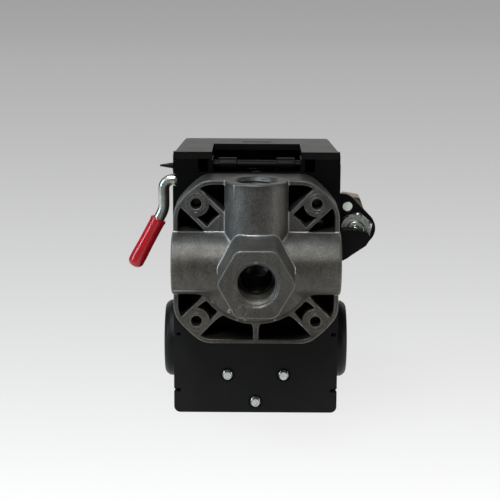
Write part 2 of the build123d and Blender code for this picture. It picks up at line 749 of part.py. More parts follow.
rod_bottom = Vector(rod_points[2][0], rod_y, rod_points[2][1])
rod_end = Vector(rod_points[3][0], rod_y, rod_points[3][1])
rod_run = (rod_end - rod_bottom).normalized()
sleeve_span = Vector(sleeve_tip[0] - sleeve_start[0], 0, sleeve_tip[1] - sleeve_start[1])
sleeve_wall_end = 1.4           # thickness of the sleeve beyond the rod's end
sleeve_plane = Plane(origin=rod_end + rod_run * sleeve_wall_end, z_dir=-rod_run)
with BuildPart() as lever_sleeve:
    with BuildSketch(sleeve_plane):
        Circle(sleeve_radius)
    extrude(amount=sleeve_span.length)
    fillet(lever_sleeve.edges().sort_by(Axis.Z)[0], 2.0)
    with BuildSketch(sleeve_plane.offset(sleeve_wall_end)):
        Circle(rod_radius)
    extrude(amount=sleeve_span.length, mode=Mode.SUBTRACT)
save(lever_sleeve.part, "lever_sleeve")

collar_x = -26.8
collar_width = 1.6
collar_radius = 3.4
with BuildPart() as rod_collar:
    with BuildSketch(side(collar_x)):
        with Locations((rod_y, rod_z)):
            Circle(collar_radius)
            Circle(rod_radius, mode=Mode.SUBTRACT)
    extrude(amount=collar_width)
save(rod_collar.part, "rod_collar")

cam_x = -23.5
cam_width = 3.0
cam_nose = (3.2, 1.2, 2.0)      # offset and radius of the cam's nose
with BuildPart() as lever_cam:
    with BuildSketch(side(cam_x)):
        with Locations((rod_y, rod_z)):
            Circle(2.9)
        with Locations((rod_y + cam_nose[0], rod_z + cam_nose[1])):
            Circle(cam_nose[2])
        make_hull()
        with Locations((rod_y, rod_z)):
            Circle(rod_radius, mode=Mode.SUBTRACT)
    extrude(amount=cam_width)
save(lever_cam.part, "lever_cam")
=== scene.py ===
import json
from math import cos, pi, radians, sin, sqrt, tan

import bmesh
import bpy
import numpy as np
from mathutils import Matrix, Vector

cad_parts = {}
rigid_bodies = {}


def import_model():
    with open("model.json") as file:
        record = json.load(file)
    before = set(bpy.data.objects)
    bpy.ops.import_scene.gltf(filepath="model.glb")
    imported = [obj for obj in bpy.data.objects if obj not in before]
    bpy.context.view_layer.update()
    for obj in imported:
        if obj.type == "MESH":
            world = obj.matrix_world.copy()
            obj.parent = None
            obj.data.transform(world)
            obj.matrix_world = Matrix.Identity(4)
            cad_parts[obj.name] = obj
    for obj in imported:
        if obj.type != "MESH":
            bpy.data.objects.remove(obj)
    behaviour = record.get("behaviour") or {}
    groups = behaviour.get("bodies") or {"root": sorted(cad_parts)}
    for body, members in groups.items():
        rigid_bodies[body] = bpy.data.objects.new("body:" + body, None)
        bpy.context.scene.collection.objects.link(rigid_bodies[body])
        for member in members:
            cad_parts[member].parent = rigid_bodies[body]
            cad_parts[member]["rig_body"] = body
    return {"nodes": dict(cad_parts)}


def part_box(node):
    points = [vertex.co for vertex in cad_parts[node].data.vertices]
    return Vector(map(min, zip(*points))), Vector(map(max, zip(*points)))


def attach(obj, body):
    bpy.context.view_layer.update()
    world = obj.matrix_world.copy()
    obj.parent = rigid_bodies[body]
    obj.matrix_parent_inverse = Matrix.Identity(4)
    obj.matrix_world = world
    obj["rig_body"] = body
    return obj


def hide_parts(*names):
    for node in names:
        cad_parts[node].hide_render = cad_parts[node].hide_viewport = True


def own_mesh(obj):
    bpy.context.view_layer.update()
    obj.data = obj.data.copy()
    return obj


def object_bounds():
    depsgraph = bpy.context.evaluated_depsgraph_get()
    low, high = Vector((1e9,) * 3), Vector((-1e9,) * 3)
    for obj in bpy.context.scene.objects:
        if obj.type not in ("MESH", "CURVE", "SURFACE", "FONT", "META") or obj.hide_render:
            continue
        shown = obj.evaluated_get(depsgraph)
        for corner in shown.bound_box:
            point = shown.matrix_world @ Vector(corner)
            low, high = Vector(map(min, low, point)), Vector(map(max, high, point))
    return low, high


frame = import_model()
cad_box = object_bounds()
nodes = frame["nodes"]
scene = bpy.context.scene

MM = 0.001


def box_mm(node_name):
    """Lowest and highest corners of a CAD node, in millimetres."""
    low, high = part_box(node_name)
    return Vector(low) / MM, Vector(high) / MM


# ---------------------------------------------------------------- camera and light
SENSOR_WIDTH = 36.0             # mm
FOCAL_LENGTH = 103.104          # mm
HALF_VIEW = 9.9                 # half of the angle of view, degrees
CAMERA_SIDE = -0.00073          # to the side of the front port, m
CAMERA_DISTANCE = 0.4485        # in front of it
CAMERA_HEIGHT = 0.10693         # above it
CAMERA_DIP = 12.03              # how far it looks down, degrees
CAMERA_TURN = 0.17              # how far it looks to the left, degrees
CAMERA_ROLL = 0.28              # degrees

FAR_SHADE, NEAR_SHADE = 0.65, 1.0   # brightness of the floor at the top and bottom of the view
SHADE_STEPS = 12
FLOOR_REACH = 0.62              # slope of the line of sight at which the floor in front has turned grey
FORE_FLOOR = 0.10               # that grey, a linear value

# name, place, what it points at, width and height in metres, watts, colour
LIGHTS = (
    ("key", (-0.25, -0.22, 0.85), (0, 0.03, 0), (0.45, 0.35), 6.0, (0.90, 0.96, 1.0)),
    ("front", (-0.1, -0.8, 0.75), (0, 0.0, 0), (0.25, 0.25), 4.5, (1.0, 0.97, 0.92)),
    ("behind", (0.0, 1.7, 0.9), (0, 0.05, 0.0), (3.0, 1.2), 7.5, (1.0, 0.99, 0.92)),
    ("left", (-0.8, -0.22, 0.28), (0, 0.02, 0.01), (0.2, 0.5), 3.0, (0.66, 0.86, 1.0)),
    ("right", (0.8, -0.25, 0.0), (0, 0.05, -0.02), (0.3, 0.3), 1.2, (1.0, 0.90, 0.80)),
)


def add_camera():
    data = bpy.data.cameras.new("camera")
    data.sensor_width = SENSOR_WIDTH
    data.lens = FOCAL_LENGTH
    data.clip_end = 50.0
    camera = bpy.data.objects.new("camera", data)
    scene.collection.objects.link(camera)
    place = Matrix.Translation((CAMERA_SIDE, -CAMERA_DISTANCE, CAMERA_HEIGHT))
    turn = Matrix.Rotation(radians(CAMERA_TURN), 4, "Z")
    dip = Matrix.Rotation(radians(90 - CAMERA_DIP), 4, "X")
    roll = Matrix.Rotation(radians(CAMERA_ROLL), 4, "Z")
    camera.matrix_world = place @ (turn @ dip) @ roll
    scene.camera = camera


def add_area_light(name, place, target, size, power, colour):
    data = bpy.data.lights.new(name, "AREA")
    data.shape = "RECTANGLE"
    data.size, data.size_y = size
    data.energy = power
    data.color = colour
    lamp = bpy.data.objects.new(name, data)
    scene.collection.objects.link(lamp)
    direction = Vector(target) - Vector(place)
    lamp.matrix_world = Matrix.Translation(place) @ direction.to_track_quat("-Z", "Y").to_matrix().to_4x4()


def add_world():
    world = bpy.data.worlds.new("world")
    scene.world = world
    world.use_nodes = True
    background = world.node_tree.nodes["Background"]
    background.inputs["Color"].default_value = (0.93, 0.95, 1.0, 1)
    background.inputs["Strength"].default_value = 0.05


def floor_stops():
    """Ramp stops of the floor's glow, by the slope of the line of sight as a share of FLOOR_REACH."""
    stops = []
    for step in range(SHADE_STEPS + 1):
        share = step / SHADE_STEPS
        dip = radians(CAMERA_DIP + HALF_VIEW * (2 * share - 1))
        shade = FAR_SHADE + (NEAR_SHADE - FAR_SHADE) * share
        # screen brightness to the linear value that Blender needs
        stops.append((tan(dip) / FLOOR_REACH, grey(((shade + 0.055) / 1.055) ** 2.4)))
    return stops + [(1.0, grey(FORE_FLOOR))]


def floor_look(floor_z):
    """Matt floor that glows with painted light in place of lamp light: light by the object, greyer behind
    it and dark grey in front.
    """
    material, tree, shader = new_material("floor")
    away = node_math(tree, "ADD", coordinate(tree, "Y"), CAMERA_DISTANCE)
    slope = node_math(tree, "DIVIDE", CAMERA_HEIGHT - floor_z, away)
    glow = ramp(tree, node_math(tree, "DIVIDE", slope, FLOOR_REACH), floor_stops())
    tree.links.new(glow, shader.inputs["Emission Color"])
    # painted light: the floor glows rather than being lit
    shader.inputs["Emission Strength"].default_value = 0.93
    shader.inputs["Base Color"].default_value = (0.06, 0.06, 0.06, 1)
    shader.inputs["Roughness"].default_value = 1.0
    shader.inputs["Specular IOR Level"].default_value = 0.0
    return material


def add_stage(floor_z):
    """Floor under the object that sweeps up into a wall far behind it."""
    half_width, front, back = 5.0, -2.6, 6.5
    bend_run, bend_rise = 1.0, 0.3
    wall_run, wall_rise = 1.5, 3.0
    rows = [
        (front, floor_z),
        (back, floor_z),
        (back + bend_run, floor_z + bend_rise),
        (back + wall_run, floor_z + wall_rise),
    ]
    corners = [(x, y, z) for y, z in rows for x in (-half_width, half_width)]
    mesh = bpy.data.meshes.new("floor")
    mesh.from_pydata(corners, [], [(i, i + 1, i + 3, i + 2) for i in (0, 2, 4)])
    mesh.materials.append(floor_look(floor_z))
    floor = bpy.data.objects.new("floor", mesh)
    scene.collection.objects.link(floor)


# ---------------------------------------------------------------- material kit
MIX_A, MIX_B, MIX_RESULT = 6, 7, 2   # the colour sockets of a Mix node


def new_material(name):
    material = bpy.data.materials.new(name)
    material.use_nodes = True
    return material, material.node_tree, material.node_tree.nodes["Principled BSDF"]


def grey(value):
    return (value, value, value)


def node(tree, kind, **inputs):
    """New node; keyword names are input names with underscores for spaces."""
    made = tree.nodes.new(kind)
    for key, value in inputs.items():
        made.inputs[key.replace("_", " ")].default_value = value
    return made


def node_math(tree, operation, first, second):
    made = tree.nodes.new("ShaderNodeMath")
    made.operation = operation
    for socket, value in zip(made.inputs, (first, second)):
        if isinstance(value, float):
            socket.default_value = value
        else:
            tree.links.new(value, socket)
    return made.outputs["Value"]


def object_coordinates(tree):
    return tree.nodes.new("ShaderNodeTexCoord").outputs["Object"]


def coordinate(tree, axis):
    """The surface point's X, Y or Z, in metres."""
    split = tree.nodes.new("ShaderNodeSeparateXYZ")
    tree.links.new(object_coordinates(tree), split.inputs["Vector"])
    return split.outputs[axis]


def noise(tree, scale, detail=4.0, stretch=None):
    """Noise factor over object coordinates; scale is in cycles per metre."""
    made = node(tree, "ShaderNodeTexNoise", Scale=scale, Detail=detail, Roughness=0.55)
    source = object_coordinates(tree)
    if stretch:
        mapping = node(tree, "ShaderNodeMapping", Scale=stretch)
        tree.links.new(source, mapping.inputs["Vector"])
        source = mapping.outputs["Vector"]
    tree.links.new(source, made.inputs["Vector"])
    return made.outputs[0]


def ramp(tree, factor, stops):
    """Colour ramp; stops are (position, rgb)."""
    made = tree.nodes.new("ShaderNodeValToRGB")
    elements = made.color_ramp.elements
    while len(elements) < len(stops):
        elements.new(0.5)
    for element, (position, colour) in zip(elements, stops):
        element.position = position
        element.color = (*colour, 1)
    tree.links.new(factor, made.inputs["Fac"])
    return made.outputs["Color"]


def span(tree, factor, low, high):
    """Factor from 0..1 to low..high."""
    made = node(tree, "ShaderNodeMapRange", To_Min=low, To_Max=high)
    tree.links.new(factor, made.inputs["Value"])
    return made.outputs["Result"]


def share_of_way(tree, value, low, high):
    """How far value is on the way from low to high, from 0 to 1."""
    made = node(tree, "ShaderNodeMapRange", From_Min=low, From_Max=high)
    tree.links.new(value, made.inputs["Value"])
    return made.outputs["Result"]


def bump(tree, shader, layers):
    """Bump from several (height, distance in metres, strength) layers."""
    previous = None
    for height, distance, strength in layers:
        made = node(tree, "ShaderNodeBump", Strength=strength, Distance=distance)
        tree.links.new(height, made.inputs["Height"])
        if previous:
            tree.links.new(previous, made.inputs["Normal"])
        previous = made.outputs["Normal"]
    tree.links.new(previous, shader.inputs["Normal"])


def painted(tree, factor, base, colour):
    """The base, turning to a plain colour where the factor is 1."""
    made = tree.nodes.new("ShaderNodeMix")
    made.data_type = "RGBA"
    tree.links.new(factor, made.inputs["Factor"])
    tree.links.new(base, made.inputs[MIX_A])
    made.inputs[MIX_B].default_value = (*colour, 1)
    return made.outputs[MIX_RESULT]


def multiplied(tree, first, second):
    made = tree.nodes.new("ShaderNodeMix")
    made.data_type = "RGBA"
    made.blend_type = "MULTIPLY"
    made.inputs["Factor"].default_value = 1.0
    tree.links.new(first, made.inputs[MIX_A])
    tree.links.new(second, made.inputs[MIX_B])
    return made.outputs[MIX_RESULT]


# ---------------------------------------------------------------- materials
EDGE_WEAR_AND_HIGHLIGHT_GREY = (0.27, 0.275, 0.28)      # worn edges of the casting, and a painted highlight along them
SEAM_HIGHLIGHT_GREY = (0.55, 0.58, 0.60)       # painted highlight along the fillets between its tubes, hexagon and flange
SEAM_HIGHLIGHT_ATTRIBUTE = "seam_highlight"                        # the mesh attribute that marks those fillets for the painted highlight


def die_cast():
    """Grey die casting: cloudy tone, flow streaks, fine grain, lighter worn edges that also carry a painted
    highlight, and a painted highlight along the fillets.

    It has painted light and shade by height: darker and warmer towards the bottom, a little bluer near the
    top, and dark again on the faces at the very top.
    """
    material, tree, shader = new_material("die_cast")
    tone = ramp(tree, noise(tree, 60, detail=6),
                [(0.3, (0.074, 0.071, 0.065)), (0.5, (0.100, 0.097, 0.090)), (0.72, (0.136, 0.132, 0.124))])
    streak = ramp(tree, noise(tree, 360, detail=6, stretch=(1.0, 0.5, 0.3)),
                  [(0.3, (0.78, 0.78, 0.77)), (0.7, (1.15, 1.16, 1.18))])
    grain = ramp(tree, noise(tree, 1700, detail=4),
                 [(0.36, grey(0.70)), (0.5, grey(1.0)), (0.68, grey(1.22))])
    surface = multiplied(tree, multiplied(tree, tone, streak), grain)
    # painted light and shade by height: darker and warmer low down, a little bluer near the top, dark on
    # the faces at the very top
    painted_light_by_height = ramp(tree, share_of_way(tree, coordinate(tree, "Z"), -0.032, 0.032),
                 [(0.0, (0.60, 0.56, 0.48)), (0.45, (0.88, 0.86, 0.80)), (0.7, grey(1.0)),
                  (0.91, (1.0, 1.01, 1.04)), (0.945, grey(0.55))])
    geometry = tree.nodes.new("ShaderNodeNewGeometry")
    # lighter worn edges, with a painted highlight along them
    worn_and_highlit_edge = share_of_way(tree, geometry.outputs["Pointiness"], 0.515, 0.60)
    edge = painted(tree, worn_and_highlit_edge, multiplied(tree, surface, painted_light_by_height), EDGE_WEAR_AND_HIGHLIGHT_GREY)
    # painted highlight along the fillets where the tubes, hexagon and flange meet
    seam_highlight = tree.nodes.new("ShaderNodeAttribute")
    seam_highlight.attribute_name = SEAM_HIGHLIGHT_ATTRIBUTE
    tree.links.new(painted(tree, seam_highlight.outputs["Fac"], edge, SEAM_HIGHLIGHT_GREY), shader.inputs["Base Color"])
    shader.inputs["Metallic"].default_value = 0.6
    tree.links.new(span(tree, noise(tree, 170, detail=5), 0.34, 0.58), shader.inputs["Roughness"])
    bump(tree, shader, [
        (noise(tree, 300, detail=4), 0.00020, 0.5),
        (noise(tree, 1500, detail=2), 0.00003, 0.7),
    ])
    return material


def black_paint():
    """Satin black coating on sheet steel: slight orange peel, and painted shade that makes it darker
    towards the top and lighter lower down.
    """
    material, tree, shader = new_material("black_paint")
    tone = ramp(tree, noise(tree, 40, detail=6), [(0.3, grey(0.006)), (0.75, grey(0.011))])
    # painted shade: the coating darkens towards the top
    painted_shade_to_top = ramp(tree, share_of_way(tree, coordinate(tree, "Z"), -0.055, 0.02),
                [(0.0, grey(1.0)), (0.45, grey(0.75)), (1.0, grey(0.12))])
    tree.links.new(multiplied(tree, tone, painted_shade_to_top), shader.inputs["Base Color"])
    tree.links.new(span(tree, noise(tree, 90, detail=5), 0.34, 0.5), shader.inputs["Roughness"])
    shader.inputs["Specular IOR Level"].default_value = 0.11
    bump(tree, shader, [(noise(tree, 1100, detail=2), 0.00002, 0.5), (noise(tree, 60), 0.0001, 0.1)])
    return material


def black_plastic():
    """Moulded black housing plastic with a fine spark texture."""
    material, tree, shader = new_material("black_plastic")
    tone = ramp(tree, noise(tree, 30, detail=5),
                [(0.3, (0.003, 0.003, 0.0035)), (0.8, (0.006, 0.006, 0.0065))])
    tree.links.new(tone, shader.inputs["Base Color"])
    tree.links.new(span(tree, noise(tree, 120, detail=4), 0.30, 0.42), shader.inputs["Roughness"])
    shader.inputs["Specular IOR Level"].default_value = 0.14
    bump(tree, shader, [(noise(tree, 1800, detail=2), 0.00002, 0.45)])
    return material


def rubber(name, colour, roughness):
    """Moulded rubber: mottled towards a darker shade, with a fine matt texture."""
    material, tree, shader = new_material(name)
    dark = tuple(0.75 * c for c in colour)
    tree.links.new(ramp(tree, noise(tree, 80), [(0.3, dark), (0.8, colour)]), shader.inputs["Base Color"])
    sheen = span(tree, noise(tree, 200), roughness - 0.08, roughness + 0.08)
    tree.links.new(sheen, shader.inputs["Roughness"])
    shader.inputs["Specular IOR Level"].default_value = 0.18
    bump(tree, shader, [(noise(tree, 1500, detail=2), 0.00003, 0.35)])
    return material


def metal(name, low, high, roughness, scale=300, grain=0.00001):
    """Plated or machined metal: noise in colour, roughness and bump."""
    material, tree, shader = new_material(name)
    mottle = noise(tree, scale, detail=6)
    tree.links.new(ramp(tree, mottle, [(0.3, low), (0.7, high)]), shader.inputs["Base Color"])
    shader.inputs["Metallic"].default_value = 1.0
    sheen = span(tree, noise(tree, scale / 2, detail=4), roughness * 0.75, roughness * 1.3)
    tree.links.new(sheen, shader.inputs["Roughness"])
    bump(tree, shader, [(mottle, grain, 0.5)])
    return material


def red_vinyl():
    """Dip-moulded red vinyl: glossy, slightly translucent, with shallow sags."""
    material, tree, shader = new_material("red_vinyl")
    tone = ramp(tree, noise(tree, 70, detail=3),
                [(0.3, (0.34, 0.002, 0.007)), (0.75, (0.48, 0.004, 0.014))])
    tree.links.new(tone, shader.inputs["Base Color"])
    tree.links.new(span(tree, noise(tree, 150), 0.16, 0.3), shader.inputs["Roughness"])
    shader.inputs["Subsurface Weight"].default_value = 0.12
    shader.inputs["Subsurface Scale"].default_value = 0.002
    shader.inputs["Subsurface Radius"].default_value = (1.0, 0.25, 0.2)
    shader.inputs["Coat Weight"].default_value = 0.3
    shader.inputs["Coat Roughness"].default_value = 0.12
    bump(tree, shader, [(noise(tree, 160, detail=2), 0.0003, 0.25), (noise(tree, 900), 0.00003, 0.2)])
    return material


def moulding(name, low, high, roughness):
    """Moulded part that is hardly seen: mottled colour and a fine texture."""
    material, tree, shader = new_material(name)
    tree.links.new(ramp(tree, noise(tree, 120), [(0.3, low), (0.75, high)]), shader.inputs["Base Color"])
    sheen = span(tree, noise(tree, 250), roughness - 0.06, roughness + 0.08)
    tree.links.new(sheen, shader.inputs["Roughness"])
    bump(tree, shader, [(noise(tree, 1500), 0.00002, 0.4)])
    return material


def make_looks():
    """One material for each material slot of the record, and a darker copy of zinc_screw with painted shade
    for the frame screws.
    """
    return {
        "die_cast": die_cast(),
        "seal_rubber": rubber("seal_rubber", (0.02, 0.02, 0.021), 0.6),
        "nylon_white": moulding("nylon_white", (0.55, 0.54, 0.50), (0.70, 0.69, 0.65), 0.4),
        "black_steel": black_paint(),
        "zinc_screw": metal("zinc_screw", (0.30, 0.32, 0.30), (0.66, 0.68, 0.64), 0.28,
                            scale=1300, grain=0.0001),
        "bright_steel": metal("bright_steel", (0.40, 0.40, 0.41), (0.62, 0.62, 0.63), 0.25),
        "zinc_sheet": metal("zinc_sheet", (0.34, 0.34, 0.33), (0.55, 0.55, 0.54), 0.36),
        "black_plastic": black_plastic(),
        "copper_strip": metal("copper_strip", (0.45, 0.18, 0.10), (0.72, 0.33, 0.20), 0.3),
        "phenolic": moulding("phenolic", (0.020, 0.012, 0.009), (0.034, 0.021, 0.016), 0.38),
        "brass_strip": metal("brass_strip", (0.50, 0.33, 0.12), (0.75, 0.54, 0.24), 0.3),
        "spring_steel": metal("spring_steel", (0.22, 0.22, 0.23), (0.42, 0.42, 0.43), 0.3),
        "black_rubber": rubber("black_rubber", (0.006, 0.006, 0.0063), 0.42),
        "brass": metal("brass", (0.20, 0.15, 0.11), (0.34, 0.27, 0.20), 0.34),
        "nickel_plate": metal("nickel_plate", (0.36, 0.42, 0.38), (0.60, 0.66, 0.60), 0.26),
        "zinc_rod": metal("zinc_rod", (0.42, 0.43, 0.39), (0.68, 0.69, 0.63), 0.30),
        "red_vinyl": red_vinyl(),
        # a darker copy of zinc_screw: painted shade on the frame screws
        "shaded_screw": metal("zinc_screw_shaded", (0.035, 0.035, 0.034), (0.07, 0.07, 0.068), 0.45),
    }


# ---------------------------------------------------------------- mesh kit
WELD = 2e-6                     # points of a CAD mesh nearer than this are one, m
FLAT_ANGLE = 0.6                # faces of a CAD mesh this close to one plane are one face, degrees
EDGE_ANGLE = 28                 # edges sharper than this are rounded, degrees
HOUSING_RADIUS = 2.2            # of the housing's corners at its lower end, mm
LARGE_FACE = 120e-6             # faces above this area are shaded flat, m2
LARGE_OUTLINE = 12e-6           # the same for a face of more than four corners


def add_object(name, mesh, material, body, replaces=()):
    made = bpy.data.objects.new(name, mesh)
    scene.collection.objects.link(made)
    mesh.materials.clear()
    mesh.materials.append(material)
    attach(made, body)
    if replaces:
        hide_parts(*replaces)
    return made


def smooth_by_angle(mesh, degrees):
    mesh.polygons.foreach_set("use_smooth", [True] * len(mesh.polygons))
    mesh.set_sharp_from_angle(angle=radians(degrees))


def plain_mesh(name, bm, smooth_angle):
    """Mesh with only the points and faces of bm, and so with no stored normals."""
    bm.verts.index_update()
    mesh = bpy.data.meshes.new(name)
    mesh.from_pydata([v.co[:] for v in bm.verts], [], [[v.index for v in f.verts] for f in bm.faces])
    bm.free()
    smooth_by_angle(mesh, smooth_angle)
    return mesh


def turned_outwards(name, bm, smooth_angle):
    """Mesh of bm, its faces all turned outwards."""
    bmesh.ops.recalc_face_normals(bm, faces=bm.faces)
    mesh = bpy.data.meshes.new(name)
    bm.to_mesh(mesh)
    bm.free()
    smooth_by_angle(mesh, smooth_angle)
    return mesh


def welded(name):
    """Points and faces of a CAD node, with points that lie together made one."""
    bm = bmesh.new()
    bm.from_mesh(nodes[name].data)
    bmesh.ops.remove_doubles(bm, verts=bm.verts, dist=WELD)
    return bm


def round_edges(bm, edges, width, segments, clamp):
    bmesh.ops.bevel(bm, geom=edges, offset=width * MM, offset_type="OFFSET", segments=segments,
                    profile=0.5, affect="EDGES", clamp_overlap=clamp)


def housing_corners(bm):
    """The housing's two long edges at its lower end, which are moulded with a larger radius."""
    low = box_mm("cover")[0]
    wall, same_level, long_run = 27.2 * MM, 0.1, 20.0 * MM
    return [e for e in bm.edges if all(abs(v.co.z / MM - low.z) < same_level for v in e.verts)
            and all(abs(v.co.x) > wall for v in e.verts)
            and abs(e.verts[0].co.y - e.verts[1].co.y) > long_run]


def refined(name, width):
    """Copy of a CAD node with its flat faces merged and its edges rounded by width mm."""
    bm = welded(name)
    bmesh.ops.dissolve_limit(bm, angle_limit=radians(FLAT_ANGLE), verts=bm.verts, edges=bm.edges)
    if name == "cover":
        round_edges(bm, housing_corners(bm), HOUSING_RADIUS, segments=6, clamp=False)
    sharp = [e for e in bm.edges if len(e.link_faces) == 2 and e.calc_face_angle(0) > radians(EDGE_ANGLE)]
    round_edges(bm, sharp, width, segments=2, clamp=True)
    mesh = plain_mesh(name, bm, 20)
    for face in mesh.polygons:
        large = face.area > LARGE_FACE or (face.area > LARGE_OUTLINE and len(face.vertices) > 4)
        face.use_smooth = not large
    return mesh


def circle(bm, radii, z):
    """Points round the Z axis at height z, one for each of the radii, in mm."""
    made = []
    for step, radius in enumerate(radii):
        angle = 2 * pi * step / len(radii)
        made.append(bm.verts.new((radius * cos(angle) * MM, radius * sin(angle) * MM, z * MM)))
    return made


def bridge(bm, first, second):
    """Quads between two rings of points."""
    for a, b, c, d in zip(first, first[1:] + first[:1], second[1:] + second[:1], second):
        bm.faces.new((a, b, c, d))


def lathe(name, profile, segments=64):
    """Mesh of revolution about local Z; profile is (radius, z) in mm, closed into a ring."""
    bm = bmesh.new()
    rings = []
    for step in range(segments):
        angle = 2 * pi * step / segments
        rings.append([bm.verts.new((r * cos(angle) * MM, r * sin(angle) * MM, z * MM)) for r, z in profile])
    for a, b in zip(rings, rings[1:] + rings[:1]):
        for i in range(len(profile)):
            j = (i + 1) % len(profile)
            bm.faces.new((a[i], b[i], b[j], a[j]))
    bmesh.ops.remove_doubles(bm, verts=bm.verts, dist=1e-7)
    return turned_outwards(name, bm, 35)


def placed(mesh, origin, axis, turn=0.0):
    """Move a mesh made about +Z so that +Z points along axis from origin (mm); turn is in radians."""
    rotation = Vector(axis).to_track_quat("Z", "Y").to_matrix().to_4x4() @ Matrix.Rotation(turn, 4, "Z")
    mesh.transform(Matrix.Translation(Vector(origin) * MM) @ rotation)
    return mesh


def faced(mesh, place, turn):
    """Stand a mesh made about +Z along +Y at place (mm), turned in the X-Z plane by turn degrees."""
    stand = Matrix.Rotation(radians(-90), 4, "X")
    spin = Matrix.Rotation(radians(-turn), 4, "Y")
    mesh.transform(Matrix.Translation(Vector(place) * MM) @ spin @ stand)
    return mesh


def threaded(name, crest, root, length, pitch, inner=None, steps=10, segments=72, lead=0.5):
    """Helical thread about +Z from z=0 to length, a rod when inner is None, else a liner.

    crest and root are the radii of the thread's tops and bottoms; a liner's other
    wall is a plain cylinder at the radius inner, outside the root. The thread rises
    from its ends over lead turns. steps is the number of rows of points in a turn.
    """
    flank, flat = 2.6, 0.15     # steepness of the flanks, and what leaves a flat at the root
    rows = int(length / pitch * steps)
    heights = np.linspace(0, length, rows + 1)
    angles = np.arange(segments) / segments
    wave = (heights[:, None] / pitch - angles[None, :]) % 1.0
    tooth = np.clip(np.abs(wave - 0.5) * flank - flat, 0, 1)
    fade = np.clip(np.minimum(heights, length - heights) / (lead * pitch), 0, 1)[:, None]
    radius = root + (crest - root) * tooth * fade
    bm = bmesh.new()
    grid = [circle(bm, radii, z) for radii, z in zip(radius, heights)]
    for first, second in zip(grid, grid[1:]):
        bridge(bm, first, second)
    if inner is None:
        bm.faces.new(grid[0][::-1])
        bm.faces.new(grid[-1])
    else:
        near, far = (circle(bm, [inner] * segments, z) for z in (0, length))
        bridge(bm, near, far)
        bridge(bm, grid[0], near)
        bridge(bm, grid[-1], far)
    return turned_outwards(name, bm, 50)


# ---------------------------------------------------------------- manifold casting as a distance field
# Millimetres. Y runs into the casting from the hexagon's face, and Z up along the top tube.
CASTING_LOW, CASTING_HIGH = box_mm("manifold")
HEX_FACE = CASTING_LOW.y
FLANGE_BACK = CASTING_HIGH.y
FLANGE_DEPTH = 16.0
RIM = FLANGE_BACK - FLANGE_DEPTH     # front of the flange, where the tubes' axes lie
FLANGE_HALF_WIDTH = 28.5
FLANGE_HALF_HEIGHT = -CASTING_LOW.z
FLANGE_CORNER = 33.8                 # radius that cuts the flange's corners
TUBE_HALF_LENGTH = CASTING_HIGH.x
TOP_END = CASTING_HIGH.z
TUBE_RADIUS = 10.7
HUB_RADIUS = 21.0
DOME_RISE = 7.2
HEX_HALF_FLATS = 11.25
HEX_DRAFT = 0.55                     # growth of half the flats from the face to the rim
HEX_CORNER = 3.2
HEX_END = 4                          # how far past the rim the hexagon reaches,
DOME_END = 2                         # and the dome
HOLE_PLACE = 20.6                    # corner holes, each way from the middle
HOLE_RADIUS = 1.8
BOSS_RADIUS = 4.6
RIB_WIDTH = 1.5
RIM_WALL = 1.6
LOWER_RIB_HALF = 0.95
LOWER_RIB_TOP = -14
WALL_DRAFT = 0.015                   # thinning of the flange's walls for each mm of depth
MARK_PLACE = (-5.2, -8.7)            # ejector mark near the lower left corner of the hexagon's face
MARK_RADIUS = 1.75                   # it is a ring-shaped groove
MARK_HALF_WIDTH = 0.35
MARK_DEPTH = 0.40
SEAM_WIDTH = 0.55
MOUTH_RADIUS = 7.6                   # the ports, from the mouth inwards: a 45 degree cone,
MOUTH_DEPTH = 0.9
MOUTH_LEAD = 0.5                     # which is cut from this far in front of the mouth,
LINER_RADIUS = 6.97                  # a bore with room for the thread liner,
PORT_DEPTH = 14.0
PASSAGE_RADIUS = 4.2                 # and a passage to the middle
PASSAGE_DEPTH = 34
DIAPHRAGM_SEAT = (20.0, 1.2)         # radius and depth of the two recesses in the back
CHAMBER = (12.0, 3.6)
GRID_STEP = 0.38                     # of the grid on which the casting's surface is found
GRID_MARGIN = 0.9
CASTING_TRIANGLES = 110000           # about as many as the surface is thinned to
COS_30, TAN_30, COS_45 = 0.8660254, 0.5773503, 0.707


def smooth_min(a, b, k):
    """Union of two fields with a fillet about k wide."""
    h = np.maximum(k - np.abs(a - b), 0) / k
    return np.minimum(a, b) - h * h * k / 4


def smooth_max(a, b, k):
    """Intersection of two fields with a rounded edge about k wide."""
    return -smooth_min(-a, -b, k)


def hexagon_distance(x, z, apothem, corner):
    """Distance to a hexagon with flats at top and bottom and rounded corners."""
    px, pz = np.abs(x), np.abs(z)
    fold = 2 * np.minimum(-COS_30 * px + 0.5 * pz, 0)
    px = px + COS_30 * fold
    pz = pz - 0.5 * fold
    side = apothem - corner
    dx = px - np.clip(px, -TAN_30 * side, TAN_30 * side)
    dz = pz - side
    return np.sqrt(dx * dx + dz * dz) * np.sign(dz) - corner


def hole_distance(x, z):
    """Distance from the axis of the nearest corner hole."""
    return np.sqrt((np.abs(x) - HOLE_PLACE) ** 2 + (np.abs(z) - HOLE_PLACE) ** 2)


